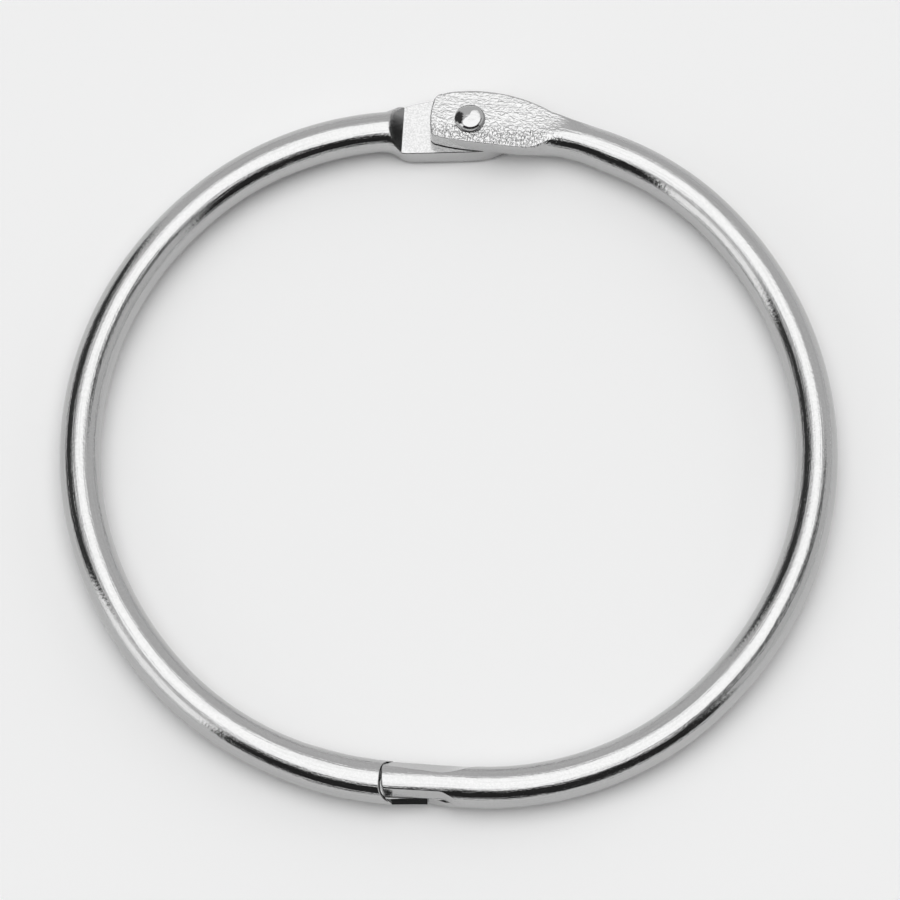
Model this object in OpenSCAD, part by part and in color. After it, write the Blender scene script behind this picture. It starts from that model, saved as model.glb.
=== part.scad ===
// Hinged loose-leaf binder ring: two half rings of round wire, riveted together at
// one end, that meet in a half-lap at the other.
// The loop lies flat, with +Z up. The rivet is on the +Y side and the closure on the
// -Y side. The front half ring is on the +X side, and its tang is the upper one.
// The origin is below the middle of the loop, on the surface that the ring lies on.

/* [Wire and loop] */
// Diameter of the round wire
wire_d = 3; // [2.4:0.05:3.6]
// Clear width of the loop on the front half's side, from the hinge line
front_reach = 25.3; // [21:0.05:32]
// Clear width of the loop on the rear half's side, from the hinge line
rear_reach = 25.45; // [21:0.05:32]
// Clear length of the loop from its widest line to the closure
closure_reach = 24.8; // [21:0.05:30]
// Clear length of the loop from its widest line to the front half's wire at the hinge
front_hinge_reach = 24.35; // [23:0.05:25.5]
// Clear length of the loop from its widest line to the rear half's wire at the hinge
rear_hinge_reach = 24.25; // [23:0.05:25.5]
// Straight run of the front half's wire at the hinge, from the hinge line
front_hinge_straight = 3.6; // [1:0.05:6]
// Straight run of the rear half's wire at the hinge, from the hinge line
rear_hinge_straight = 3; // [1:0.05:6]
// Straight run of the front half's wire at the closure, from the hinge line
front_closure_straight = 2.9; // [1:0.05:6]
// Straight run of the rear half's wire at the closure, from the hinge line
rear_closure_straight = 2.1; // [1:0.05:6]
// Sweep of each flatter side arc, from the loop's widest line
side_sweep = 45; // [38:1:52]

/* [Hinge tangs] */
// Distance of the rivet's axis from the loop's widest line
rivet_y = 26.25; // [25.8:0.05:26.7]
// Thickness of the front half's tang, from the plane where the tangs meet
front_tang_t = 1.38; // [1.1:0.02:1.46]
// Thickness of the rear half's tang, from the plane where the tangs meet
rear_tang_t = 1.42; // [1.1:0.02:1.46]
// Length of a tang past the rivet's axis
tang_end = 2.98; // [2:0.02:4]
// Radius of a tang's slightly bowed end
tang_end_r = 6; // [4:0.5:20]
// Radius of a tang's outer end corner
tang_corner_r = 0.9; // [0.4:0.05:1.2]
// Width of a tang outside the rivet's axis
tang_outer_w = 2.27; // [1.9:0.01:2.8]
// Radius of a tang's long outer edge
tang_outer_r = 11.2; // [9:0.1:16]
// Place of that edge's crown, from the rivet's axis towards the wire
tang_crown = 0.6; // [0:0.05:1.5]
// Width of the front tang inside the rivet's axis
front_inner_w = 1.95; // [1.7:0.01:2.4]
// Width of the rear tang inside the rivet's axis
rear_inner_w = 2.06; // [1.7:0.01:2.4]
// Slope of the front tang's inner edge, which widens towards the wire
front_inner_slope = 3.3; // [0:0.1:6]
// Slope of the rear tang's inner edge, which widens towards the wire
rear_inner_slope = 4.9; // [0:0.1:6]
// Distance from the rivet's axis to the shoulder, where the tang's mating face ends
shoulder = 5; // [4.4:0.05:6]
// Length over which the shoulder slopes up to the full wire
shoulder_run = 1; // [0.4:0.05:2]
// Distance from the rivet's axis to the end of the tang's flat back
back_end = 6.3; // [5.6:0.05:7]
// Length over which the flat back fades into the round wire
back_fade = 1.5; // [0.8:0.05:3]

/* [Rivet] */
// Diameter of the rivet's shank
shank_d = 1.4; // [1:0.05:1.8]
// Diameter of the domed head
head_d = 2.28; // [2:0.02:3]
// Height of the domed head
head_h = 0.5; // [0.3:0.02:0.8]
// Height of the straight rim under the dome
head_rim = 0.1; // [0.04:0.01:0.2]
// Diameter of the peened tail
tail_d = 2.1; // [1.9:0.05:2.6]
// Height of the peened tail below the rear tang
tail_h = 0.25; // [0.1:0.01:0.5]
// Slope run of the peened tail's edge
tail_edge = 0.25; // [0.1:0.01:0.35]

/* [Closure lap] */
// Offset of the lap's middle from the hinge line, towards the rear half
lap_shift = 1.68; // [0:0.02:2.5]
// Length over which the two tongues lie on each other
lap_len = 3.4; // [2:0.05:5]
// Seam between the front tongue's tip and the rear half
seam_gap = 0.15; // [0.1:0.01:0.4]
// Gap between the rear tongue's tip and the front half
end_gap = 0.7; // [0.3:0.02:1.2]
// Radius of a tongue's tip corners, seen from above
tip_r = 1.1; // [0.4:0.05:1.15]
// How far the front tongue's long sides are pressed in where the tongues meet
front_pressed = 0.45; // [0.1:0.01:0.6]
// How far the rear tongue's long sides are pressed in where the tongues meet
rear_pressed = 0.18; // [0.1:0.01:0.6]
// Lean of those pressed sides from upright
pressed_lean = 15; // [5:1:30]

/* [Clearances] */
// Gap between the two tangs
tang_gap = 0.08; // [0.04:0.01:0.2]
// Gap between the two tongues
lap_gap = 0.1; // [0.06:0.01:0.3]
// Gap around the shank in the front tang, on each side
swivel_gap = 0.04; // [0.02:0.01:0.1]
// Gap between the domed head and the front tang
head_gap = 0.04; // [0.02:0.01:0.1]

/* [Hidden] */
$fn = 96;
wire_r = wire_d / 2;
mid_z = max(tail_h + rear_tang_t, wire_r); // height of the plane where the halves meet
closure_y = closure_reach + wire_r;        // the middle of the wire at the closure
front_tip = -lap_shift - lap_len / 2;      // the front tongue's tip
rear_tip = -lap_shift + lap_len / 2;       // the rear tongue's tip
front_stop = rear_tip + end_gap;           // the front half's shoulder at the lap
rear_stop = front_tip - seam_gap;          // the rear half's shoulder at the lap
block = 3 * wire_d;                        // reach of the blocks that are cut away
corner_proud = 0.01;                       // a corner's circle stands out of its edges

// A quarter of the loop is a side arc, a bend arc and a straight run, tangent to each
// other. It is w wide and h long to the middle of the wire, and its straight run is s
// long. The radii are rounded so that the arcs still meet when they are written out.
arc_share = sin(side_sweep) + cos(side_sweep) - 1;
function fine(x) = round(1000 * x) / 1000;
function bend_r(w, h, s) =
    fine((sin(side_sweep) * (w - s) - (1 - cos(side_sweep)) * h) / arc_share);
function side_r(w, h, s) =
    fine((cos(side_sweep) * h - (1 - sin(side_sweep)) * (w - s)) / arc_share);

// The point where two circles cross, on the left of the way from a to b
function crossing(a, ra, b, rb) =
    let (d = norm(b - a), u = (b - a) / d, x = (d * d + ra * ra - rb * rb) / (2 * d))
    a + x * u + sqrt(ra * ra - x * x) * [-u.y, u.x];

// The point at distance r from one point, in the direction of another
function toward(from, to, r) = from + r * (to - from) / norm(to - from);

module wire_arc(r, from, to) {
    rotate_extrude(start = from, angle = to - from) translate([r, 0]) circle(r = wire_r);
}

// A quarter of the loop, with its straight run drawn to x = end
module wire_quarter(w, h, s, end) {
    rs = side_r(w, h, s);
    rb = bend_r(w, h, s);
    translate([w - rs, 0]) {
        wire_arc(rs, 0, side_sweep);
        translate((rs - rb) * [cos(side_sweep), sin(side_sweep)]) {
            wire_arc(rb, side_sweep, 90);
            translate([0, rb]) rotate([0, -90, 0]) cylinder(r = wire_r, h = s - end);
        }
    }
}

// The tang seen from above, with the rivet's axis at the origin and the wire on +X.
// It narrows to the point fade, on top of the wire.
module tang_plan(inner_w, slope, fade) {
    crown = [tang_crown, tang_outer_w - tang_outer_r];
    end = [tang_end_r - tang_end, 0];
    inset = tang_corner_r - corner_proud;
    corner = crossing(crown, tang_outer_r - inset, end, tang_end_r - inset);
    inner_y = function (x) -inner_w - x * tan(slope);
    difference() {
        intersection() {
            translate(crown) circle(r = tang_outer_r);
            union() {
                translate(end) circle(r = tang_end_r);
                translate([end.x, -block]) square(2 * block);
            }
            polygon([
                [-block, inner_y(-block)],
                [shoulder, inner_y(shoulder)],
                fade,
                [fade.x, block],
                [-block, block]
            ]);
        }
        difference() {
            polygon([
                corner,
                toward(crown, corner, tang_outer_r),
                corner + 2 * tang_corner_r * [-1, 1],
                toward(end, corner, tang_end_r)
            ]);
            translate(corner) circle(r = tang_corner_r);
        }
    }
}

// A block across the wire at y, from an outline of its length and height
module across(y) {
    translate([0, y + block, 0]) rotate([90, 0, 0]) linear_extrude(2 * block) children();
}

// What is pressed and cut away from the wire's end under and over a tang
module tang_cuts(tang_t) {
    across(rivet_y) polygon([
        [-block, tang_gap / 2],
        [shoulder, tang_gap / 2],
        [shoulder + 2 * shoulder_run, -2 * wire_r],
        [-block, -2 * wire_r]
    ]);
    across(rivet_y) polygon([
        [-block, tang_t],
        [back_end, tang_t],
        [back_end + back_fade, wire_r],
        [back_end + back_fade, 2 * wire_r],
        [-block, 2 * wire_r]
    ]);
}

// What is pressed and cut away from the wire's end to leave a half-thick tongue
module tongue_cuts(tip, stop, pressed) {
    low = lap_gap / 2;
    side_y = function (z) wire_r - pressed + z * tan(pressed_lean);
    translate([stop - 2 * block, -closure_y, 0]) rotate([90, 0, 90])
        linear_extrude(2 * block) polygon([
            [-block, -block],
            [block, -block],
            [block, block],
            [side_y(block), block],
            [side_y(low), low],
            [-side_y(low), low],
            [-side_y(block), block],
            [-block, block]
        ]);
    for (side = [0, 1]) translate([tip, -closure_y, -block]) mirror([0, side, 0])
        translate([0, wire_r - tip_r, 0]) linear_extrude(2 * block) difference() {
            translate([-block, 0]) square(block + tip_r);
            translate([tip_r - corner_proud, 0]) circle(r = tip_r);
        }
}

// A half ring whose tang is its upper half and points to -X, with its middle at z = 0
module half_ring(reach, hinge_reach, hinge_run, closure_run,
                 tang_t, inner_w, slope, bore_d, tip, stop, pressed) {
    w = reach + wire_r;
    hinge_y = hinge_reach + wire_r;
    rb = bend_r(w, hinge_y, hinge_run);
    fade_x = back_end + back_fade;
    fade_y = hinge_y - rb + sqrt(rb * rb - pow(max(fade_x - hinge_run, 0), 2));
    difference() {
        union() {
            difference() {
                wire_quarter(w, hinge_y, hinge_run, 0);
                tang_cuts(tang_t);
            }
            translate([0, rivet_y, tang_gap / 2]) linear_extrude(tang_t - tang_gap / 2)
                tang_plan(inner_w, slope, [fade_x, fade_y - rivet_y]);
        }
        translate([0, rivet_y, -block]) cylinder(d = bore_d, h = 2 * block);
    }
    difference() {
        mirror([0, 1, 0]) wire_quarter(w, closure_y, closure_run, tip);
        tongue_cuts(tip, stop, pressed);
    }
}

module front_half_ring() {
    color("silver") translate([0, 0, mid_z])
        half_ring(front_reach, front_hinge_reach, front_hinge_straight,
            front_closure_straight, front_tang_t, front_inner_w, front_inner_slope,
            shank_d + 2 * swivel_gap, front_tip, front_stop, front_pressed);
}

// The rear half ring is turned over about the line from the hinge to the closure
module rear_half_ring() {
    color("gainsboro") translate([0, 0, mid_z]) rotate([0, 180, 0])
        half_ring(rear_reach, rear_hinge_reach, rear_hinge_straight,
            rear_closure_straight, rear_tang_t, rear_inner_w, rear_inner_slope,
            shank_d, -rear_tip, -rear_stop, rear_pressed);
}

module rivet() {
    tail_z = mid_z - rear_tang_t - tail_h;
    head_z = mid_z + front_tang_t + head_gap;
    dome_h = head_h - head_rim;
    dome_r = (pow(head_d / 2, 2) + pow(dome_h, 2)) / (2 * dome_h);
    color("whitesmoke") translate([0, rivet_y, 0]) {
        translate([0, 0, tail_z]) cylinder(d = shank_d, h = head_z - tail_z);
        translate([0, 0, tail_z])
            cylinder(d1 = tail_d - 2 * tail_edge, d2 = tail_d, h = tail_h);
        translate([0, 0, head_z]) cylinder(d = head_d, h = head_rim);
        intersection() {
            translate([0, 0, head_z + head_h - dome_r]) sphere(r = dome_r);
            translate([0, 0, head_z + head_rim]) cylinder(d = 2 * head_d, h = head_h);
        }
    }
}

front_half_ring();
rear_half_ring();
rivet();
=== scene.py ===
"""A binder ring of nickel-plated wire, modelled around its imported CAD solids."""

import math

import bmesh
import bpy
import numpy as np
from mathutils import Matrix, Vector, noise


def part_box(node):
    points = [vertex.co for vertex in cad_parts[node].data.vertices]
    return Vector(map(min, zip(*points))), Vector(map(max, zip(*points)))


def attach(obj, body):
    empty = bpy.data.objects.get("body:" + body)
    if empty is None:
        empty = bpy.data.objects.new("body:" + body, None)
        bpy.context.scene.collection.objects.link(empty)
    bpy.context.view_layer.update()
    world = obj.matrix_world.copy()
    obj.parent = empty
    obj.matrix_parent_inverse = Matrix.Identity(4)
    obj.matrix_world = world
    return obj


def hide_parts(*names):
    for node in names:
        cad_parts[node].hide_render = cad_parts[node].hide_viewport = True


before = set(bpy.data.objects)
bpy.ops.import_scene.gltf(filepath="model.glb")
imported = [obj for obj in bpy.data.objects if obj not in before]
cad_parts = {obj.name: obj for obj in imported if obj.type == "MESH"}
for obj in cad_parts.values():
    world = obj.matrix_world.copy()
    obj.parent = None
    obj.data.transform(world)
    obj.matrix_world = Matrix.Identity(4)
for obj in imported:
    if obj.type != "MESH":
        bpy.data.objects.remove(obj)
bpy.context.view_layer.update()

MM = 0.001

# ---- Sizes, in millimetres ---------------------------------------------------------


def corners(node):
    """The lowest and highest corner of a CAD node, in millimetres."""
    low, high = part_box(node)
    return Vector(low) / MM, Vector(high) / MM


FRONT_LOW, FRONT_HIGH = corners("front_half_ring")
REAR_LOW = corners("rear_half_ring")[0]
RIVET_LOW, RIVET_HIGH = corners("rivet")

WIRE_R = (FRONT_HIGH.z - FRONT_LOW.z) / 2
MID_Z = (FRONT_HIGH.z + FRONT_LOW.z) / 2     # the plane where the two halves meet
RIVET_Y = (RIVET_LOW.y + RIVET_HIGH.y) / 2
CLOSURE_Y = -FRONT_LOW.y - WIRE_R            # the middle of the wire at the closure
SIDE_SWEEP = math.radians(45)                # sweep of the flatter side arcs
BEVEL = 0.045                                # of the mating faces' edges
TANG_GAP = 0.08                              # between the two tangs
LAP_GAP = 0.1                                # between the two tongues
SHANK_R = 0.7

# The tang in plan, from the rivet's axis, with the wire on the right
TANG_END = 2.98
TANG_END_R = 6.0
CORNER_R = 0.55
CROWN_X = 0.6
CROWN_R = 11.2
SHOULDER = 5.0                               # where the mating face ends
SHOULDER_SLOPE = 1.52                        # fall of the shoulder for each millimetre
INNER_FADE = (4.4, 6.8)                      # where the tang turns into round wire, inner side
OUTER_FADE = (5.8, 9.4)                      # and outer side
FADE_LAST = 11.5                             # where its mesh columns are evenly spread
LIFT_RISE = (3, 6)                           # where the front wire starts to stand out
LIFT_FALL = (7.5, FADE_LAST)                 # and is back on its path
FLARE_FADE = (3.6, 5.4)                      # where the tang's side loses its flare

# The closure
RECESS_FROM = (-0.2, 1.2)                    # the tip stands back between these, on its outer side
RECESS_FADE = 1.5
SWELL_RISE = (-8, -3)                        # where the wire grows wider toward its stop
SWELL_FALL = (0, 3)
WHOLE_FADE = (0.4, 4)                        # behind the stop, where columns spread round the wire
STOP_FADE = 1.6                              # length over which the stop's lean fades away

# The two half rings. reach, hinge_y, hinge_run and closure_run set the wire's path. At the tang:
# its thickness, its half-widths from the rivet, the slope of its inner side, how far that bends
# in and flares, how far the wire beside it is lifted and squeezed, the clearance round the
# rivet's shank, and its inner end corner's radius and the share of it by which the corner goes
# in. At the closure: the tip's
# place and roundings, how far it stands back outside, the stop's groove, the width and height
# of the ledge's bevel, the stop's place, its slant and the round pocket for the other tongue,
# and how far the wire swells before it. inner_press and outer_press are planes that press a
# tongue's sides in: depth at the stop and at the tip, how far the plane faces up, in degrees,
# and the length over which the whole wire gets its full width back. seed is for the skin.
HALVES = {
    "front": dict(
        reach=FRONT_HIGH.x - WIRE_R, hinge_y=25.85, hinge_run=3.6, closure_run=2.9,
        tang_t=1.38, inner_w=1.9, outer_w=2.46, slope=math.radians(4.0), bend=0.2, flare=0.0,
        lift=0.06, squeeze=0.14, swivel_gap=0.04, corner=(0.3, 0.8),
        tip=FRONT_LOW.x, tip_r=1.1, tip_edge_r=0.13, recess=0.17, groove=(0.0, 0.0),
        ledge=(BEVEL, BEVEL), stop=0.72, slant=0.79, pocket=0.0, swell=0.0, seed=3.0,
        inner_press=(0.25, 0.04, 38, 4.5), outer_press=(0.45, 0.45, 8, 1.9),
    ),
    "rear": dict(
        reach=-REAR_LOW.x - WIRE_R, hinge_y=25.75, hinge_run=3.0, closure_run=2.1,
        tang_t=1.42, inner_w=2.06, outer_w=2.33, slope=math.radians(4.9), bend=0.2, flare=0.1,
        lift=0.0, squeeze=0.0, swivel_gap=0.0, corner=(2.6, 0.22),
        tip=-0.02, tip_r=0.05, tip_edge_r=0.03, recess=0.0, groove=(0.07, 0.17),
        ledge=(0.34, 0.28), stop=3.49, slant=0.0, pocket=1.1, swell=0.05, seed=41.0,
        inner_press=(0.0, 0.0, 0, 1.9), outer_press=(0.0, 0.14, 24, 1.9),
    ),
}

INNER_EDGE_R = 0.09                          # rounding of the tang's top edges
OUTER_EDGE_R = 0.18
END_EDGE_R = 0.12
BULGE = 0.03                                 # of the tang's inner side, from the press
SHOULDER_LAST = 0.98                         # share of the wire's radius where the shoulder ends
CRINKLE_H = 0.014                            # depth of the tang's scaly skin
CRINKLE_SCALE = (2.2, 3.2)                   # its wrinkles for each millimetre, along and across
CRINKLE_GAIN = 2.2                           # above 1, the crests are flat
WARP_SCALE = 0.8                             # slow bending of the wrinkles
WARP = 0.4
WARP_SEED = 1                                # noise_vector is seeded by the clock without it
SKIN_FADE = (5.2, 7.8)                       # where the skin ends on the wire
SKIN_ON_SIDE = 0.25                          # share of it on the tang's sides
SKIN_SMOOTHER = (-0.5, 2.2)                  # where it gets weaker toward the outer side
SKIN_SMOOTHER_BY = 0.45
WAVE_H = 0.004                               # waviness of the drawn wire
CREASE = 32                                  # degrees above which an edge is left sharp

# The rivet
HEAD_GAP = 0.04
HEAD_RIM = 0.08                              # height at which the head is widest
HEAD_TUCK = 0.06                             # how far it is rounded in below that
RIM_STEPS = 6
TAIL_R = 1.05
TAIL_DISH = 0.03                             # how far the middle of the tail is hollow
TAIL_FLAT = (0.45, 0.76)                     # shares of its radius between which it is level
TAIL_BEND = (0.9, 0.04)                      # share of its radius, and height, where it turns up
TAIL_LIP = (0.02, 0.06, 0.01, 0.005)         # its upper edge: inward once, below the tang thrice
DOME_FALL = (2.2, 8.0)                       # powers of the dome's fall, where it is steep and flat
DOME_FLAT = math.radians(-35)                # the side on which it was struck flat
DOME_STEPS = 26
RIVET_STEPS = 96

# Mesh columns around a section: one side, one corner and the top of the tang, the flat
# below, and the small bevel between them
N_SIDE = 14
N_CORNER = 5
N_TOP = 62
N_FLAT = 24
N_OVER = 2 * N_SIDE + 2 * N_CORNER + N_TOP   # steps from one lower edge over to the other
N_COLUMNS = N_OVER + N_FLAT + 2
CORNER_TURN = math.radians(55)               # where the tang's corner lands on the wire
CORNER_ARC = math.radians(6)


def smooth(x, low, high):
    """0 below low, 1 above high, and smooth between."""
    t = np.clip((x - low) / (high - low), 0, 1)
    return t * t * (3 - 2 * t)


# ---- The path of the wire ----------------------------------------------------------


def arc_radii(w, h, s):
    """The bend's and the side arc's radius in a quarter loop w wide, h long, with a straight run s."""
    sin, cos = math.sin(SIDE_SWEEP), math.cos(SIDE_SWEEP)
    share = sin + cos - 1
    bend = (sin * (w - s) - (1 - cos) * h) / share
    side = (cos * h - (1 - sin) * (w - s)) / share
    return bend, side


class WirePath:
    """The middle of the wire of one half, from the tang's end to the tongue's tip."""

    def __init__(self, half):
        self.h, self.c = half["hinge_y"], CLOSURE_Y
        self.w = half["reach"]
        self.run, self.closure_run = half["hinge_run"], half["closure_run"]
        self.bend, self.side = arc_radii(self.w, self.h, self.run)
        self.bend2, self.side2 = arc_radii(self.w, self.c, self.closure_run)
        self.start, self.tip = -TANG_END, half["tip"]
        rest = math.pi / 2 - SIDE_SWEEP
        self.lengths = [
            self.run - self.start, self.bend * rest, self.side * SIDE_SWEEP,
            self.side2 * SIDE_SWEEP, self.bend2 * rest, self.closure_run - self.tip,
        ]
        self.length = sum(self.lengths)

    def at(self, s):
        """The point at length s and the outward normal there, both in plan."""
        part = 0
        while part < 5 and s > self.lengths[part]:
            s -= self.lengths[part]
            part += 1
        if part == 0:
            return np.array([self.start + s, self.h]), np.array([0.0, 1.0])
        if part == 5:
            return np.array([self.closure_run - s, -self.c]), np.array([0.0, -1.0])
        radius = (self.bend, self.side, self.side2, self.bend2)[part - 1]
        turn = (math.pi / 2, SIDE_SWEEP, 0, -SIDE_SWEEP)[part - 1] - s / radius
        lift = (self.h - self.bend, 0, 0, self.bend2 - self.c)[part - 1]
        centre = np.array([self.run if part == 1 else self.w - radius, lift])
        if part == 4:
            centre[0] = self.closure_run
        out = np.array([math.cos(turn), math.sin(turn)])
        return centre + radius * out, out


def spread(knots):
    """Lengths from (length, step) pairs, with steps that change evenly between the pairs."""
    places = [knots[0][0]]
    while places[-1] < knots[-1][0]:
        step = np.interp(places[-1], [k[0] for k in knots], [k[1] for k in knots])
        places.append(places[-1] + step)
    places = np.array(places)
    return knots[0][0] + (places - knots[0][0]) * (
        (knots[-1][0] - knots[0][0]) / (places[-1] - knots[0][0])
    )


# ---- Sections ----------------------------------------------------------------------
# A section is a list of (outward, up) points: from the inner lower edge over the top to
# the outer lower edge, and back along the bottom.


def over_angles(low, first, last):
    """Angles above the horizon from the inner side over the top, where the section starts at low."""
    side = np.linspace(low, first, N_SIDE + 1)
    corner = np.linspace(first, first + last, N_CORNER + 1)
    top = np.linspace(first + last, math.pi - first - last, N_TOP + 1)
    back = math.pi - np.concatenate([side, corner[1:]])[::-1]
    return np.concatenate([side, corner[1:], top[1:], back[1:]])


def round_upper(over):
    """The part of a round section that has its columns at the given angles."""
    return WIRE_R * np.stack([-np.cos(over), np.sin(over)], 1)


def round_below(over, bevel):
    """The rest of a round section, whose upper part has its columns at the given angles."""
    below = np.linspace(over[-1] + bevel, 2 * math.pi + over[0] - bevel, N_FLAT + 1)
    return WIRE_R * np.stack([-np.cos(below), np.sin(below)], 1)


def flat_below(upper, height, outer_bevel=BEVEL):
    """The bottom of a section that is cut off level, joined to its sides by bevels."""
    inner, outer = upper[0], upper[-1]
    most = 0.3 * (outer[0] - inner[0])
    n = np.linspace(outer[0] - min(outer_bevel, most), inner[0] + min(BEVEL, most), N_FLAT + 1)
    return np.stack([n, np.full_like(n, height)], 1)


def even_angles():
    """Angles that spread all columns evenly round the wire."""
    step = 2 * math.pi / N_COLUMNS
    low = -(math.pi - (N_FLAT + 2) * step) / 2
    return low + step * np.arange(N_OVER + 1)


def tang_upper(n_in, n_out, low, high, bulge, flare):
    """The tang's sides and top. Below the middle, the sides are still those of the wire."""
    def side(n, edge_r, bulge, flare):
        u = np.linspace(
            math.asin(max(low, -WIRE_R) / WIRE_R) if low < 0 else low / WIRE_R,
            (high - edge_r) / WIRE_R, N_SIDE + 1,
        )
        z = np.where(u < 0, WIRE_R * np.sin(u), WIRE_R * u)
        out = np.where(u < 0, np.cos(u), 1.0)
        swell = bulge * np.sin(math.pi * np.clip(z / high, 0, 1)) + flare * np.clip(z / high, 0, 1)
        return np.stack([n * out + math.copysign(1, n) * swell, z], 1)

    def corner(n, edge_r):
        turn = np.linspace(0, math.pi / 2, N_CORNER + 1)[1:]
        quarter = edge_r * np.stack([1 - np.cos(turn), np.sin(turn) - 1], 1)
        return np.array([n, high]) + quarter * [-math.copysign(1, n), 1]

    inner, outer = corner(n_in - flare, INNER_EDGE_R), corner(n_out, OUTER_EDGE_R)
    top_n = np.linspace(inner[-1][0], outer[-1][0], N_TOP + 1)
    top = np.stack([top_n, np.full_like(top_n, high)], 1)
    return np.concatenate([
        side(n_in, INNER_EDGE_R, bulge, flare), inner, top[1:], outer[::-1][1:],
        side(n_out, OUTER_EDGE_R, 0, 0)[::-1],
    ])


# ---- Half rings --------------------------------------------------------------------


def circles_crossing(a, ra, b, rb):
    """Where two circles in plan cross, on the left of the way from a to b."""
    gap = b - a
    d = np.linalg.norm(gap)
    u = gap / d
    x = (d * d + ra * ra - rb * rb) / (2 * d)
    return a + x * u + math.sqrt(ra * ra - x * x) * np.array([-u[1], u[0]])


def rounding(d, radius):
    """How far a rounded edge stands in at the distance d from its start."""
    if d >= radius:
        return 0.0
    return radius - math.sqrt(radius * radius - (radius - d) ** 2)


def tang_limits(half, x):
    """The tang's inner and outer edge, as y in plan."""
    from_end = x + TANG_END
    crown_y = half["outer_w"] - CROWN_R
    corner = circles_crossing(
        np.array([CROWN_X, crown_y]), CROWN_R - CORNER_R,
        np.array([TANG_END_R - TANG_END, 0.0]), TANG_END_R - CORNER_R,
    )
    held = min(x, SHOULDER)
    inner = RIVET_Y - half["inner_w"] - held * math.tan(half["slope"])
    inner += half["bend"] * (min(x, 0) / TANG_END) ** 2
    corner_r, corner_share = half["corner"]
    inner += corner_share * rounding(from_end, corner_r)
    if from_end < CORNER_R:
        outer = RIVET_Y + corner[1] + CORNER_R - rounding(from_end, CORNER_R)
    else:
        outer = RIVET_Y + crown_y + math.sqrt(CROWN_R ** 2 - (x - CROWN_X) ** 2)
    return inner, outer


def hinge_section(half, x, middle, stretch):
    """The section at x near the hinge, where the wire's middle is at y = middle."""
    cut = TANG_GAP / 2 - SHOULDER_SLOPE * max(0.0, x - SHOULDER)
    is_cut = cut > -SHOULDER_LAST * WIRE_R
    even = even_angles()
    v = smooth(x, INNER_FADE[1], FADE_LAST)
    low = math.asin(max(cut, -SHOULDER_LAST * WIRE_R) / WIRE_R)
    if not is_cut:
        low += (even[0] - low) * smooth(x, SHOULDER, FADE_LAST)
    over = (1 - v) * over_angles(low, CORNER_TURN, CORNER_ARC) + v * even
    upper = round_upper(over)
    across = smooth(np.linspace(0, 1, N_OVER + 1), 0.2, 0.9)[:, None]
    w = (1 - across) * smooth(x, *INNER_FADE) + across * smooth(x, *OUTER_FADE)
    if x < OUTER_FADE[1]:
        inner, outer = tang_limits(half, x)
        from_end = x + TANG_END
        ease = rounding(from_end, END_EDGE_R)
        n_in = min(inner - middle, -WIRE_R) if x > SHOULDER else inner - middle
        n_out = max(outer - middle, WIRE_R) if x > SHOULDER else outer - middle
        bulge = BULGE * smooth(x, 0.5, 3) * (1 - smooth(x, 4.6, 6.5))
        start = cut + min(ease, BEVEL) if is_cut else math.sin(low) * WIRE_R
        flare = half["flare"] * (1 - smooth(x, *FLARE_FADE))
        tang = tang_upper(n_in, n_out, start, half["tang_t"] - ease, bulge, flare)
        upper = (1 - w) * tang + w * upper
    if is_cut:
        lower = flat_below(upper, cut)
        upper[[0, -1], 1] += BEVEL
    else:
        bevel = (1 - v) * BEVEL / WIRE_R + v * (even[1] - even[0])
        lower = round_below(over, bevel)
    section = np.concatenate([upper, lower])
    narrow = 1 - half["squeeze"] / WIRE_R * beside_tang(x)
    section[:, 0] *= np.where(section[:, 0] < 0, narrow, 1) * stretch
    return section


def press(section, half, from_tip, past):
    """Presses the sides of a tongue in, and of the whole wire at the length past behind the stop."""
    n, z = section[:, 0], section[:, 1]
    toward_tip = 1 - np.clip(from_tip / (half["stop"] - half["tip"]), 0, 1)
    for side, key in ((-1, "inner_press"), (1, "outer_press")):
        at_stop, at_tip, up, fade = half[key]
        depth, up = at_stop + (at_tip - at_stop) * toward_tip, math.radians(up)
        limit = (WIRE_R - depth - np.maximum(z, 0) * math.sin(up)) / math.cos(up)
        limit = limit + (WIRE_R - limit) * smooth(past, 0, fade)
        limit = np.minimum(limit, WIRE_R - rounding(from_tip, half["tip_r"]))
        n = np.where(n * side > 0, side * np.minimum(abs(n), limit), n)
    return np.stack([n, z], 1)


def closure_section(half, x, cut_off):
    """The section at x near the closure. Where it is cut off, only the upper tongue is left."""
    even = even_angles()
    from_tip = x - half["tip"]
    level = LAP_GAP / 2
    low = math.asin(level / WIRE_R)
    ledge_w, ledge_h = half["ledge"]
    tongue = np.linspace(low, math.pi - math.asin((level + ledge_h) / WIRE_R), N_OVER + 1)
    past = x - half["stop"]
    if not cut_off:
        v = smooth(past, *WHOLE_FADE)
        over = (1 - v) * tongue + v * even
        bevel = (1 - v) * BEVEL / WIRE_R + v * (even[1] - even[0])
        whole = np.concatenate([round_upper(over), round_below(over, bevel)])
        return press(whole, half, from_tip, past)
    ease = 1 - rounding(from_tip, half["tip_edge_r"]) / WIRE_R
    upper = press(round_upper(tongue), half, from_tip, past)
    upper[:, 0] *= ease
    upper[:, 1] = level + (upper[:, 1] - level) * ease
    lower = flat_below(upper, level, ledge_w)
    upper[0, 1] += BEVEL
    return np.concatenate([upper, lower])


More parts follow.
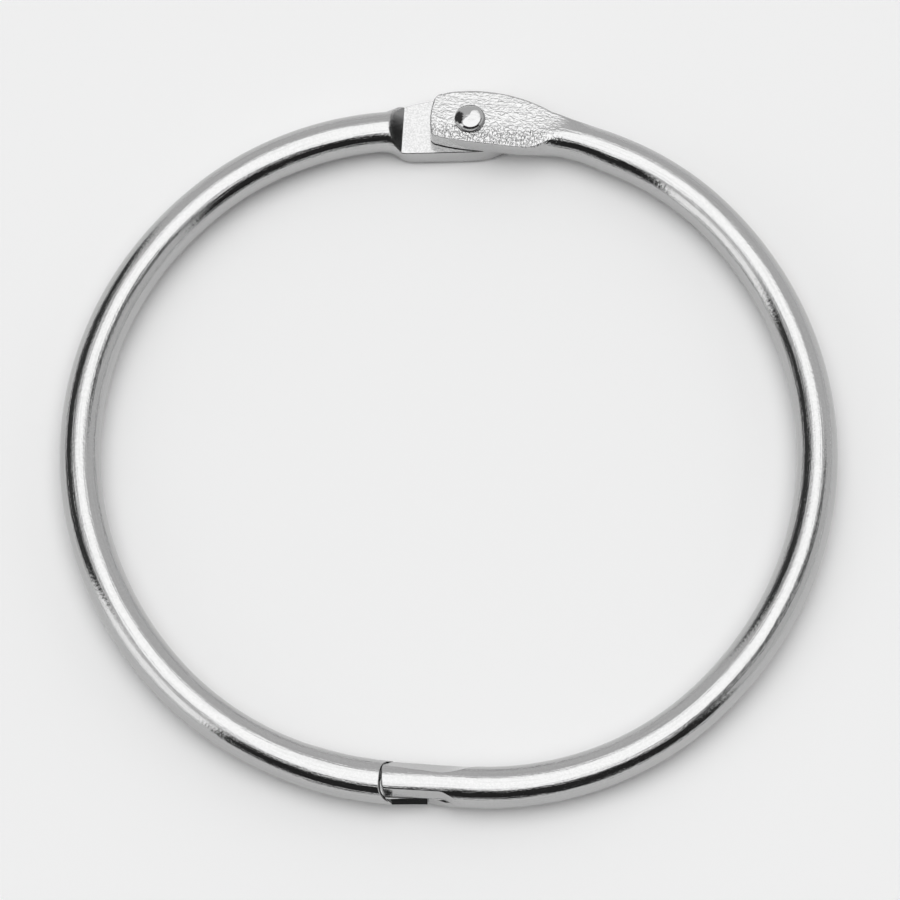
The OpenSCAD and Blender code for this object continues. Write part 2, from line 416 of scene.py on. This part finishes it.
def shoulder_shift(half, section, from_stop):
    """How far the stop leans toward the tip: round the other tongue's inner corner, on a slant,
    and closing toward the mating plane. It fades away along the wire on both sides."""
    n, z = section[:, 0], section[:, 1]
    depth = 1 - np.clip(-z / WIRE_R, 0, 1)
    groove = half["groove"][0] + half["groove"][1] * smooth(n, *RECESS_FROM)
    shift = half["slant"] * (n + WIRE_R) / (2 * WIRE_R) + groove * depth
    pocket = half["pocket"]
    if pocket:
        aside = np.clip(abs(n) - (WIRE_R - pocket), 0, 0.97 * pocket)
        round_corner = pocket - np.sqrt(pocket ** 2 - aside ** 2)
        shift = shift + round_corner * np.where(n < 0, 1, depth)
    fade = np.clip(1 - abs(from_stop) / STOP_FADE, 0, 1)
    return np.where(np.arange(N_COLUMNS) > N_OVER, shift * fade, 0)


def tip_recess(half, section, from_tip):
    """How far the tip stands back from the seam on its outer side."""
    aside = smooth(section[:, 0], *RECESS_FROM)
    return half["recess"] * aside * (1 - smooth(from_tip, 0, RECESS_FADE))


def beside_tang(x):
    """1 next to the tang, where the wire is squeezed, and 0 away from there."""
    return smooth(x, *LIFT_RISE) * (1 - smooth(x, *LIFT_FALL))


def crinkle(x, y, seed):
    """The height of the press's wrinkled skin on a tang, from about 0 in a crease to 1."""
    warp = noise.noise_vector(Vector((x * WARP_SCALE, y * WARP_SCALE, seed))) * WARP
    along, across = CRINKLE_SCALE
    q = Vector(((x + warp.x) * along, (y + warp.y) * across, seed))
    return min(1.0, CRINKLE_GAIN * abs(noise.fractal(q, 0.9, 2.1, 3)))


def station_lengths(path, half):
    """Lengths along the wire with a mesh section, close together where the form changes fast."""
    shoulder = SHOULDER + TANG_END
    ramp = shoulder + (SHOULDER_LAST * WIRE_R + TANG_GAP / 2) / SHOULDER_SLOPE
    stop = path.length - (half["stop"] - half["tip"])
    tang = spread([(0, 0.006), (0.1, 0.02), (0.9, 0.07), (shoulder, 0.07)])
    ramped = spread([(shoulder, 0.06), (ramp, 0.05)])
    wire = spread([
        (ramp, 0.06), (ramp + 7, 0.14), (ramp + 12, 0.34),
        (stop - 6, 0.34), (stop - 3, 0.15), (stop - BEVEL, 0.06),
    ])
    tongue = spread([
        (stop, 0.07), (path.length - 1.2, 0.06), (path.length - 0.1, 0.02), (path.length, 0.006),
    ])
    return np.concatenate([tang, ramped[1:], wire[1:]]), tongue


def half_ring_points(half):
    """Mesh points of a half ring by section and column, with its middle at z = 0. For each
    point: its place on the straightened wire, how scaly its skin is, and whether it lies on a
    cut face. Last comes the number of the section at the stop."""
    path = WirePath(half)
    whole, tongue = station_lengths(path, half)
    lap = path.length - half["stop"] + half["tip"]
    stations = [(s, False) for s in whole] + [(lap, False)] + [(s, True) for s in tongue]
    points, grain, scaly, cuts = [], [], [], []
    top = np.arange(N_COLUMNS)
    on_top = (top >= N_SIDE) & (top <= N_OVER - N_SIDE)
    on_side = ((top < N_SIDE) | (top > N_OVER - N_SIDE)) & (top <= N_OVER)
    for s, cut_off in stations:
        middle, out = path.at(s)
        x, from_tip = middle[0], path.length - s
        shift = np.zeros(N_COLUMNS)
        slide = np.zeros(N_COLUMNS)
        mask = np.zeros(N_COLUMNS)
        cut = 0.0
        if middle[1] > 0 and x < FADE_LAST:
            middle = middle + [0, half["lift"] * beside_tang(x)]
            cut = 1 - smooth(x, SHOULDER, SHOULDER + 1)
            t = smooth(x, INNER_FADE[1], FADE_LAST)
            toward = (1 - t) * np.array([0.0, 1.0]) + t * out
            toward /= np.linalg.norm(toward)
            section = hinge_section(half, x, middle[1], 1 / float(toward @ out))
            y = middle[1] + section[:, 0] - RIVET_Y
            bow = TANG_END_R - np.sqrt(TANG_END_R ** 2 - np.clip(y, -4, 4) ** 2)
            shift = bow * (1 - smooth(x + TANG_END, 0, 1.5))
            mask = (on_top * 1.0 + on_side * SKIN_ON_SIDE) * (1 - smooth(x, *SKIN_FADE))
            mask *= 1 - SKIN_SMOOTHER_BY * smooth(y, *SKIN_SMOOTHER)
        elif from_tip < half["stop"] - half["tip"] - SWELL_RISE[0]:
            toward = out
            section = closure_section(half, half["tip"] + from_tip, cut_off)
            slide = shoulder_shift(half, section, s - lap)
            cut = float(cut_off)
            if cut_off:
                slide = slide - tip_recess(half, section, from_tip)
            section[:, 0] *= 1 + half["swell"] * (
                smooth(s - lap, *SWELL_RISE) * (1 - smooth(s - lap, *SWELL_FALL))
            )
            if s == lap and not cut_off:
                section[N_OVER + 1:] *= 1 - BEVEL / WIRE_R
        else:
            toward = out
            even = even_angles()
            below = round_below(even, 2 * math.pi / N_COLUMNS)
            section = np.concatenate([round_upper(even), below])
        ahead = np.array([out[1], -out[0]])
        place = np.stack([
            middle[0] + toward[0] * section[:, 0] + ahead[0] * slide + shift,
            middle[1] + toward[1] * section[:, 0] + ahead[1] * slide,
            section[:, 1],
        ], 1)
        points.append(place)
        grain.append(np.stack([np.full(N_COLUMNS, s), section[:, 0], section[:, 1]], 1))
        scaly.append(mask)
        cuts.append(cut * (top > N_OVER))
    return np.array(points), np.array(grain), np.array(scaly), np.array(cuts), len(whole)


def add_relief(points, grain, scaly, seed):
    """Stands the scaly skin of the tang, and the drawn wire's slight waviness, out of the surface."""
    along = np.gradient(points, axis=0)
    around = np.roll(points, -1, 1) - np.roll(points, 1, 1)
    normal = np.cross(along, around)
    normal /= np.linalg.norm(normal, axis=2, keepdims=True) + 1e-9
    lift = np.zeros(scaly.shape)
    for i, j in np.argwhere(scaly > 0.01):
        x, y = points[i, j, 0], points[i, j, 1]
        lift[i, j] += CRINKLE_H * scaly[i, j] * (crinkle(x, y, seed) - 1)
    for i, j in np.argwhere(scaly <= 0.3):
        s, n, z = grain[i, j]
        if z > TANG_GAP:
            lift[i, j] += WAVE_H * noise.noise(Vector((s / 5, n / 0.9, z / 0.9 + seed)))
    return points + normal * lift[..., None]


def cap(ring, n_of):
    """Faces that close a section, between its way over the top and its way back below."""
    upper = list(ring[:N_OVER + 1])
    lower = list(ring[N_OVER + 1:])[::-1]
    faces = [(upper[0], lower[0], upper[1])]
    i, j = 1, 0
    while i < len(upper) - 1 or j < len(lower) - 1:
        go_upper = j == len(lower) - 1 or (
            i < len(upper) - 1 and n_of[upper[i + 1]] < n_of[lower[j + 1]]
        )
        if go_upper:
            faces.append((upper[i], lower[j], upper[i + 1]))
            i += 1
        else:
            faces.append((upper[i], lower[j], lower[j + 1]))
            j += 1
    return faces


def mesh_object(name, points, faces, material):
    """A smooth-shaded mesh object from points in millimetres, with its creases left sharp."""
    mesh = bpy.data.meshes.new(name)
    mesh.from_pydata((np.asarray(points) * MM).tolist(), [], faces)
    mesh.materials.append(material)
    mesh.validate()
    obj = bpy.data.objects.new(name, mesh)
    bpy.context.scene.collection.objects.link(obj)
    mesh.shade_smooth()
    mesh.set_sharp_from_angle(angle=math.radians(CREASE))
    return obj


def drop_folds(mesh):
    """Triangulates a mesh and removes the folds that the drill leaves at its rim: two triangles
    back to back on the same three corners."""
    work = bmesh.new()
    work.from_mesh(mesh)
    bmesh.ops.triangulate(work, faces=list(work.faces), ngon_method="EAR_CLIP")
    by_corners = {}
    for face in work.faces:
        by_corners.setdefault(frozenset(vert.index for vert in face.verts), []).append(face)
    folds = [face for pair in by_corners.values() if len(pair) == 2 for face in pair]
    bmesh.ops.delete(work, geom=folds, context="FACES")
    work.to_mesh(mesh)
    work.free()


def drill(obj, radius):
    """Drills the rivet's hole through a tang."""
    bpy.ops.mesh.primitive_cylinder_add(
        vertices=RIVET_STEPS, radius=radius * MM, depth=4 * WIRE_R * MM,
        location=(0, RIVET_Y * MM, MID_Z * MM),
    )
    drill_bit = bpy.context.object
    hole = obj.modifiers.new("hole", "BOOLEAN")
    hole.operation = "DIFFERENCE"
    hole.solver = "EXACT"
    hole.object = drill_bit
    with bpy.context.temp_override(object=obj, active_object=obj, selected_objects=[obj]):
        bpy.ops.object.modifier_apply(modifier=hole.name)
    bpy.data.objects.remove(drill_bit)
    drop_folds(obj.data)


def half_ring(name, half, material, turned_over):
    """One half ring as a mesh object, in the part's frame."""
    points, grain, scaly, cuts, stop_row = half_ring_points(half)
    points = add_relief(points, grain, scaly, half["seed"])
    rows, columns = scaly.shape
    index = np.arange(rows * columns).reshape(rows, columns)
    index[stop_row + 1, 1:N_OVER] = index[stop_row, 1:N_OVER]
    after = np.roll(index, -1, 1)
    quads = np.stack([index[:-1], index[1:], after[1:], after[:-1]], -1).reshape(-1, 4).tolist()
    n_of = grain[..., 1].ravel()
    quads += [tuple(reversed(f)) for f in cap(index[0], n_of)]
    quads += cap(index[-1], n_of)
    faces = [tuple(dict.fromkeys(quad)) for quad in quads]
    faces = [face for face in faces if len(face) > 2]
    used = np.unique([i for face in faces for i in face])
    new_index = np.zeros(rows * columns, int)
    new_index[used] = np.arange(len(used))
    faces = [tuple(new_index[list(face)].tolist()) for face in faces]
    flat = points.reshape(-1, 3)[used]
    if turned_over:
        flat = flat * [-1, 1, -1]
    flat[:, 2] += MID_Z
    obj = mesh_object(name, flat, faces, material)
    for key, kind, values in (
        ("grain", "FLOAT_VECTOR", grain.reshape(-1, 3)[used]),
        ("scaly", "FLOAT", scaly.ravel()[used]),
        ("cut", "FLOAT", cuts.ravel()[used]),
    ):
        layer = obj.data.attributes.new(key, kind, "POINT")
        layer.data.foreach_set("vector" if kind == "FLOAT_VECTOR" else "value",
                               values.astype(np.float32).ravel())
    drill(obj, SHANK_R + half["swivel_gap"])
    return obj


# ---- Rivet -------------------------------------------------------------------------


def rivet_profile():
    """Radius and height along the rivet's outline, from the middle of its tail to the rim of
    its head."""
    front_top = MID_Z + HALVES["front"]["tang_t"]
    rear_bottom = MID_Z - HALVES["rear"]["tang_t"]
    head_r = (RIVET_HIGH.x - RIVET_LOW.x) / 2
    rim_z = front_top + HEAD_GAP + HEAD_RIM
    lip_in, lip_low, lip_top, lip_end = TAIL_LIP
    outline = [
        (0, RIVET_LOW.z + TAIL_DISH),
        (TAIL_FLAT[0] * TAIL_R, RIVET_LOW.z),
        (TAIL_FLAT[1] * TAIL_R, RIVET_LOW.z),
        (TAIL_BEND[0] * TAIL_R, RIVET_LOW.z + TAIL_BEND[1]),
        (TAIL_R, rear_bottom - lip_low),
        (TAIL_R - lip_in, rear_bottom - lip_top),
        (SHANK_R, rear_bottom - lip_end),
        (SHANK_R, front_top + HEAD_GAP),
    ]
    for k in range(RIM_STEPS):
        turn = math.pi / 2 * k / RIM_STEPS
        outline.append((head_r - HEAD_TUCK * (1 - math.sin(turn)), rim_z - HEAD_RIM * math.cos(turn)))
    return outline, head_r


def dome_points(head_r, turn):
    """Radius and height along the dome at one turn round it: it was struck flat on one side."""
    low, high = DOME_FALL
    power = low + (high - low) * smooth(0.5 + 0.5 * math.cos(turn - DOME_FLAT), 0.1, 0.6)
    rim_z = MID_Z + HALVES["front"]["tang_t"] + HEAD_GAP + HEAD_RIM
    points = []
    for k in range(DOME_STEPS):
        share = math.cos(math.pi / 2 * k / DOME_STEPS)
        points.append((head_r * share, RIVET_HIGH.z - (RIVET_HIGH.z - rim_z) * share ** power))
    return points


def rivet(name, material):
    """The rivet: turned from its outline, with a dome that was struck a little on one side."""
    outline, head_r = rivet_profile()
    points, rings = [(0, RIVET_Y, outline[0][1])], [[0]]
    for level in range(1, len(outline) + DOME_STEPS):
        rings.append(list(range(len(points), len(points) + RIVET_STEPS)))
        for k in range(RIVET_STEPS):
            turn = 2 * math.pi * k / RIVET_STEPS
            if level < len(outline):
                r, z = outline[level]
            else:
                r, z = dome_points(head_r, turn)[level - len(outline)]
            points.append((r * math.cos(turn), RIVET_Y + r * math.sin(turn), z))
    rings.append([len(points)])
    points.append((0, RIVET_Y, RIVET_HIGH.z))
    faces = []
    for a, b in zip(rings, rings[1:]):
        for k in range(RIVET_STEPS):
            m = (k + 1) % RIVET_STEPS
            if len(a) == 1:
                faces.append((a[0], b[m], b[k]))
            elif len(b) == 1:
                faces.append((a[k], a[m], b[0]))
            else:
                faces.append((a[k], a[m], b[m], b[k]))
    return mesh_object(name, points, faces, material)


# ---- Materials ---------------------------------------------------------------------


class Nodes:
    """A node tree with short calls for adding nodes and links."""

    def __init__(self, tree):
        self.tree = tree
        tree.nodes.clear()

    def add(self, kind, inputs=None, **settings):
        node = self.tree.nodes.new(kind)
        for key, value in settings.items():
            setattr(node, key, value)
        for key, value in (inputs or {}).items():
            if isinstance(value, bpy.types.NodeSocket):
                self.tree.links.new(value, node.inputs[key])
            else:
                node.inputs[key].default_value = value
        return node

    def math(self, operation, a, b=0.0, c=0.0, clamp=False):
        node = self.add("ShaderNodeMath", {0: a, 1: b, 2: c}, operation=operation)
        node.use_clamp = clamp
        return node.outputs[0]

    def ramp(self, value, low, high, to_low=0.0, to_high=1.0):
        """to_low below low, to_high above high, and smooth between."""
        node = self.add("ShaderNodeMapRange", {
            "Value": value, "From Min": low, "From Max": high, "To Min": to_low, "To Max": to_high,
        }, interpolation_type="SMOOTHSTEP")
        return node.outputs[0]


def new_material(name):
    material = bpy.data.materials.new(name)
    material.use_nodes = True
    return material, Nodes(material.node_tree)


NICKEL = (0.5, 0.5, 0.5, 1)

# Relief of the plated wire, in millimetres. Scales are per millimetre, along the wire, outward
# and up.
STREAK_SCALE, STREAK_H = (0.16, 7, 7), 0.015
BEAD_SCALE, BEAD_H = (4.0, 4.6, 4.6), 0.009
FINE_SCALE, FINE_H = (7, 9, 9), 0.004
SPECK_SCALE = (7, 7, 7)
LONG_RIDGE_SCALE = (2.6, 4.4, 1)             # of the tang's skin, on its outer side
SHORT_RIDGE_SCALE = (5.0, 2.8, 1)            # and on its inner side
INNER_SIDE = (-0.9, 0.8)                     # where the one turns into the other
RIDGE_H = 0.024
RIDGE_H_INNER = 0.020                        # added to it on the inner side
ROUGHNESS = (0.05, 0.13)
CUT_ROUGHNESS = 0.06                         # added to it on the cut faces
RIVET_SCALE = 3                              # of the rivet's grain, for each millimetre
RIVET_GRAIN_H = 0.012
RIVET_ROUGHNESS = (0.05, 0.12)


def scaled(n, vector, x, y, z):
    """The vector with its parts multiplied by x, y and z."""
    return n.add("ShaderNodeVectorMath", {0: vector, 1: (x, y, z)}, operation="MULTIPLY").outputs[0]


def noise_on(n, vector, detail=2.0, rough=0.5):
    node = n.add("ShaderNodeTexNoise", {
        "Vector": vector, "Scale": 1.0, "Detail": detail, "Roughness": rough,
    })
    return node.outputs[0]


def ridges_on(n, vector):
    """Sharp wrinkles: high on a wrinkle's crest."""
    node = n.add("ShaderNodeTexNoise", {
        "Vector": vector, "Scale": 1.0, "Detail": 2.0, "Roughness": 0.6, "Distortion": 0.5,
        "Offset": 0.8, "Gain": 1.0,
    }, noise_type="RIDGED_MULTIFRACTAL")
    return node.outputs[0]


def wire_nickel(name):
    """Bright nickel plate on drawn wire: streaks along the wire, a beaded fine relief, the scaly skin
    that the press left on the tang with painted shade in its creases, and the plain cut faces."""
    material, n = new_material(name)
    grain = n.add("ShaderNodeAttribute", attribute_name="grain").outputs["Vector"]
    scaly = n.add("ShaderNodeAttribute", attribute_name="scaly").outputs["Fac"]
    cut = n.add("ShaderNodeAttribute", attribute_name="cut").outputs["Fac"]
    streaks = noise_on(n, scaled(n, grain, *STREAK_SCALE), 3.0, 0.6)
    beads = noise_on(n, scaled(n, grain, *BEAD_SCALE), 2.0)
    fine = noise_on(n, scaled(n, grain, *FINE_SCALE), 2.0)
    specks = noise_on(n, scaled(n, grain, *SPECK_SCALE), 1.0)
    outward = n.add("ShaderNodeSeparateXYZ", {0: grain}).outputs[1]
    inner = n.ramp(outward, *INNER_SIDE, 1.0, 0.0)
    long_ridges = ridges_on(n, scaled(n, grain, *LONG_RIDGE_SCALE))
    short_ridges = ridges_on(n, scaled(n, grain, *SHORT_RIDGE_SCALE))
    change = n.math("SUBTRACT", short_ridges, long_ridges)
    ridges = n.math("MULTIPLY_ADD", change, inner, long_ridges)
    depth = n.math("MULTIPLY_ADD", inner, RIDGE_H_INNER, RIDGE_H)
    drawn = n.math("SUBTRACT", 1.0, cut)
    plate = n.math("MULTIPLY_ADD", beads, BEAD_H, n.math("MULTIPLY", streaks, STREAK_H))
    plate = n.math("MULTIPLY_ADD", fine, FINE_H, n.math("MULTIPLY", plate, drawn))
    skin = n.math("MULTIPLY", n.math("MULTIPLY", ridges, depth), -1.0)
    height = n.math("MULTIPLY_ADD", skin, scaly, plate)
    bump = n.add("ShaderNodeBump", {"Height": height, "Strength": 1.0, "Distance": MM})
    rough = n.ramp(streaks, 0.3, 0.75, *ROUGHNESS)
    rough = n.math("MULTIPLY_ADD", cut, CUT_ROUGHNESS, rough)
    in_specks = n.ramp(specks, 0.3, 0.7, 0.97, 1.02)
    # The plate's tone: random specks and streaks of its own, and below, painted shade in the skin's
    # creases.
    wear_and_crease_shade = n.math("MULTIPLY", in_specks, n.ramp(streaks, 0.3, 0.5, 0.93, 1.0))
    # Painted shade: the tang's skin is up to 22 % darker in its creases, where the ridges cut deepest,
    # and 8 % lighter on the rest of it.
    crease_shade = n.math("MULTIPLY_ADD", n.ramp(ridges, 0.8, 1.5), -0.3, 0.08)
    wear_and_crease_shade = n.math("MULTIPLY", wear_and_crease_shade, n.math("MULTIPLY_ADD", crease_shade, scaly, 1.0))
    speckled = n.math("MULTIPLY", cut, n.ramp(specks, 0.35, 0.6, -0.05, 0.04))
    wear_and_crease_shade = n.math("MULTIPLY", wear_and_crease_shade, n.math("ADD", speckled, 1.0))
    shade = n.add("ShaderNodeVectorMath", {0: NICKEL[:3], "Scale": wear_and_crease_shade}, operation="SCALE")
    shader = n.add("ShaderNodeBsdfPrincipled", {
        "Base Color": shade.outputs[0], "Metallic": 1.0, "Roughness": rough,
        "Normal": bump.outputs[0],
    })
    n.add("ShaderNodeOutputMaterial", {"Surface": shader.outputs[0]})
    return material


def rivet_nickel(name):
    """Bright nickel plate on the turned rivet, with a faint grain."""
    material, n = new_material(name)
    place = n.add("ShaderNodeTexCoord").outputs["Object"]
    grain = noise_on(n, scaled(n, place, *(RIVET_SCALE / MM,) * 3), 3.0)
    bump = n.add("ShaderNodeBump", {
        "Height": n.math("MULTIPLY", grain, RIVET_GRAIN_H), "Strength": 1.0, "Distance": MM,
    })
    shader = n.add("ShaderNodeBsdfPrincipled", {
        "Base Color": NICKEL, "Metallic": 1.0, "Normal": bump.outputs[0],
        "Roughness": n.ramp(grain, 0.3, 0.7, *RIVET_ROUGHNESS),
    })
    n.add("ShaderNodeOutputMaterial", {"Surface": shader.outputs[0]})
    return material


def build():
    noise.seed_set(WARP_SEED)
    ring_metal = wire_nickel("nickel_wire")
    rivet_metal = rivet_nickel("nickel_rivet")
    front = half_ring("front_wire", HALVES["front"], ring_metal, False)
    rear = half_ring("rear_wire", HALVES["rear"], ring_metal, True)
    pin = rivet("dome_rivet", rivet_metal)
    for obj, node, body, slot in (
        (front, "front_half_ring", "front_half", "nickel_wire"),
        (rear, "rear_half_ring", "rear_half", "nickel_wire"),
        (pin, "rivet", "rear_half", "nickel_rivet"),
    ):
        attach(obj, body)
        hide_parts(node)


build()


# ---- Studio ------------------------------------------------------------------------


# Plain soft light: one large soft light overhead, white walls, a smaller soft light on the
# left, and dark flags where a studio is dark. Panels are given by their middle and half-width
# round the horizon and their lower and upper edge, in degrees, with the softness of the edge.
# Azimuth 0 is the part's right and 90 is the side away from the camera.
TOP = dict(low=51, edge=12, light=1.85)
WALL = 0.74
PANELS = [
    dict(at=204, half=20, low=6, high=40, edge=12, light=1.5),
    dict(at=280, half=58, low=6, high=50, edge=6, light=0.03),
    dict(at=155, half=28, low=6, high=42, edge=6, light=0.06),
    dict(at=5, half=29, low=38, high=53, edge=6, light=0.15),
]
FLOOR_SHADE = 0.96                           # the camera and the metal see the same pale floor
FLOOR_DROP = 0.02                            # the part stands this far clear of it


def light_by_direction(n):
    """The brightness of the studio by direction, as a node socket."""
    direction = n.add("ShaderNodeTexCoord").outputs["Generated"]
    part = n.add("ShaderNodeSeparateXYZ", {0: direction}).outputs
    around = n.math("ARCTAN2", part[1], part[0])
    above = n.math("ARCSINE", part[2])
    light = n.ramp(
        above, math.radians(TOP["low"]), math.radians(TOP["low"] + TOP["edge"]), WALL, TOP["light"]
    )
    for panel in PANELS:
        soft = math.radians(panel["edge"])
        off = n.math("SUBTRACT", around, math.radians(panel["at"]))
        off = n.math("ABSOLUTE", n.math("WRAP", off, -math.pi, math.pi))
        half = math.radians(panel["half"])
        sides = n.ramp(off, half - soft / 2, half + soft / 2, 1, 0)
        low, high = math.radians(panel["low"]), math.radians(panel["high"])
        bottom = n.ramp(above, low - soft / 2, low + soft / 2)
        top = n.ramp(above, high - soft / 2, high + soft / 2, 1, 0)
        share = n.math("MULTIPLY", sides, n.math("MULTIPLY", bottom, top))
        change = n.math("SUBTRACT", panel["light"], light)
        light = n.math("MULTIPLY_ADD", change, share, light)
    return light


def studio():
    """Soft light round the part, and a plain pale floor that keeps its shadow."""
    world = bpy.data.worlds.new("studio_light")
    bpy.context.scene.world = world
    world.use_nodes = True
    n = Nodes(world.node_tree)
    back = n.add("ShaderNodeBackground", {"Color": (1, 1, 1, 1), "Strength": light_by_direction(n)})
    n.add("ShaderNodeOutputWorld", {"Surface": back.outputs[0]})
    material, n = new_material("floor")
    paint = n.add("ShaderNodeBsdfDiffuse", {"Color": (FLOOR_SHADE,) * 3 + (1,)})
    n.add("ShaderNodeOutputMaterial", {"Surface": paint.outputs[0]})
    bpy.ops.mesh.primitive_plane_add(size=4, location=(0, 0, -FLOOR_DROP * MM))
    floor = bpy.context.object
    floor.name = "floor"
    floor.data.materials.append(material)


CAMERA_UP = math.radians(66)
CAMERA_TURN = math.radians(3.3)
CAMERA_FAR = 376.6
FOCAL = 206.5
SENSOR = 36.0
AIM_RIGHT = -0.00028                         # of the picture's width
AIM_UP = 0.00376


def camera():
    look = Vector((
        -math.sin(CAMERA_TURN) * math.cos(CAMERA_UP),
        math.cos(CAMERA_TURN) * math.cos(CAMERA_UP),
        -math.sin(CAMERA_UP),
    ))
    data = bpy.data.cameras.new("camera")
    data.lens = FOCAL
    data.sensor_width = SENSOR
    data.shift_x = -AIM_RIGHT
    data.shift_y = -AIM_UP
    data.clip_start = 0.01
    eye = bpy.data.objects.new("camera", data)
    eye.location = (Vector((0, 0, MID_Z)) - look * CAMERA_FAR) * MM
    eye.rotation_euler = (math.pi / 2 - CAMERA_UP, 0, CAMERA_TURN)
    bpy.context.scene.collection.objects.link(eye)
    bpy.context.scene.camera = eye


studio()
camera()

bpy.context.scene.view_settings.view_transform = "Standard"
